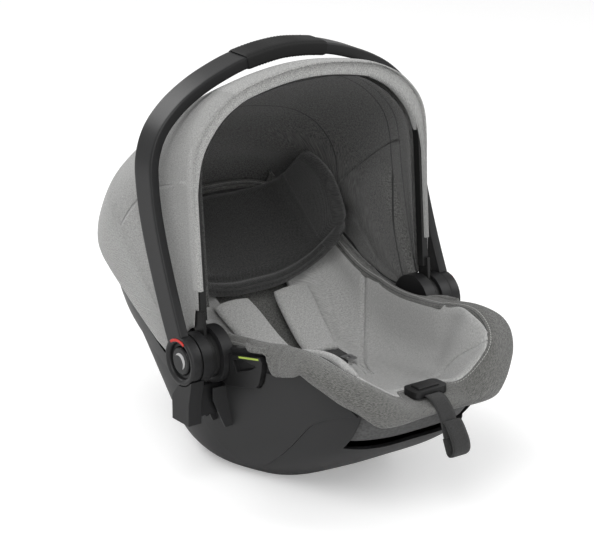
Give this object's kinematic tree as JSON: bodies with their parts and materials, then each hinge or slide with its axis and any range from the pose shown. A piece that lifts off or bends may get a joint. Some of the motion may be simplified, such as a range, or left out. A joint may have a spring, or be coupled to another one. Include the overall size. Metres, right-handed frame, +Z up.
{
  "type": "infant car seat",
  "caption": "Rear-facing infant carrier with rocker shell, padded seat, winged headrest, harness, turning carry handle and folding sun canopy.",
  "frame": {"origin": "under the middle of the seat, on the floor it rests on", "axes": "+Z up, +Y towards the head end, +X to the right looking along +Y; the foot end is at -Y"},
  "size_m": [0.4456, 0.622, 0.56],
  "materials": {
    "shell_plastic": "fine-grained moulded plastic",
    "trim_plastic": "satin black plastic",
    "handle_plastic": "satin black plastic",
    "foam": "moulded energy-absorbing foam",
    "border_fabric": "dark melange weave",
    "pad_fabric": "light melange weave",
    "canopy_fabric": "light ribbed melange weave",
    "lining_fabric": "dark melange weave",
    "headrest_fabric": "charcoal knit",
    "webbing": "woven webbing",
    "rubber": "soft ribbed rubber",
    "steel": "pressed steel",
    "marker_green": "coloured plastic",
    "button_red": "coloured plastic",
    "mark_grey": "printed plastic"
  },
  "bodies": {
    "seat": {"adjuster_frame": "trim_plastic", "belt_guide_left": "trim_plastic", "belt_guide_right": "trim_plastic", "belt_hook": "trim_plastic", "belt_marker_left": "marker_green", "belt_marker_right": "marker_green", "buckle_body": "trim_plastic", "buckle_tongue_left": "steel", "buckle_tongue_right": "steel", "canopy_fabric": "canopy_fabric", "canopy_lining": "lining_fabric", "crotch_pad": "border_fabric", "dock_leg_left": "trim_plastic", "dock_leg_right": "trim_plastic", "foam_liner": "foam", "foot_left": "rubber", "foot_right": "rubber", "hub_mount_left": "trim_plastic", "hub_mount_right": "trim_plastic", "outer_shell": "shell_plastic", "pull_loop": "webbing", "pull_strap": "webbing", "rear_panel": "canopy_fabric", "rim_strip_left": "trim_plastic", "rim_strip_right": "trim_plastic", "seat_cover": "border_fabric", "seat_insert": "pad_fabric", "shoulder_pad_left": "pad_fabric", "shoulder_pad_right": "pad_fabric", "shoulder_strap_left": "webbing", "shoulder_strap_right": "webbing", "side_panel_left": "shell_plastic", "side_panel_right": "shell_plastic"},
    "handle": {"handle_bow": "handle_plastic", "handle_grip": "rubber", "state_lens_left": "button_red", "state_lens_right": "button_red"},
    "lock_left": {"lock_button_left": "trim_plastic", "button_mark_left": "mark_grey"},
    "lock_right": {"lock_button_right": "trim_plastic", "button_mark_right": "mark_grey"},
    "front_bow": {"canopy_hoop": "canopy_fabric"},
    "middle_bow": {"mid_hoop": "trim_plastic"},
    "headrest": {"headrest_pad": "headrest_fabric", "headrest_plate": "trim_plastic"},
    "adjuster_press": {"adjuster_button": "trim_plastic"},
    "buckle_press": {"buckle_button": "button_red"}
  },
  "joints": [
    {"name": "handle_turn", "type": "hinge", "parent": "seat", "child": "handle", "pos_m": [0, -0.034, 0.185], "axis": [-1, 0, 0], "range_deg": [0, 100]},
    {"name": "lock_left_press", "type": "slide", "parent": "seat", "child": "lock_left", "axis": [1, 0, 0], "range_m": [0, 0.005], "stiffness_N_per_m": 600},
    {"name": "lock_right_press", "type": "slide", "parent": "seat", "child": "lock_right", "axis": [-1, 0, 0], "range_m": [0, 0.005], "stiffness_N_per_m": 600},
    {"name": "bow_fold", "type": "hinge", "parent": "seat", "child": "front_bow", "pos_m": [0, -0.034, 0.185], "axis": [-1, 0, 0], "range_deg": [0, 55], "deforming": ["canopy_fabric", "canopy_lining"]},
    {"name": "middle_fold", "type": "hinge", "parent": "seat", "child": "middle_bow", "pos_m": [0, -0.034, 0.185], "axis": [-1, 0, 0], "range_deg": [0, 16.5]},
    {"name": "headrest_slide", "type": "slide", "parent": "seat", "child": "headrest", "axis": [0, 0.766, 0.6428], "range_m": [0, 0.03]},
    {"name": "adjuster_press_slide", "type": "slide", "parent": "seat", "child": "adjuster_press", "axis": [0, 0, -1], "range_m": [0, 0.0025], "stiffness_N_per_m": 800},
    {"name": "buckle_press_slide", "type": "slide", "parent": "seat", "child": "buckle_press", "axis": [0, 0, -1], "range_m": [0, 0.0025], "stiffness_N_per_m": 800}
  ],
  "couplings": [
    {"joint": "middle_fold", "follows": "bow_fold", "ratio": 0.3}
  ]
}
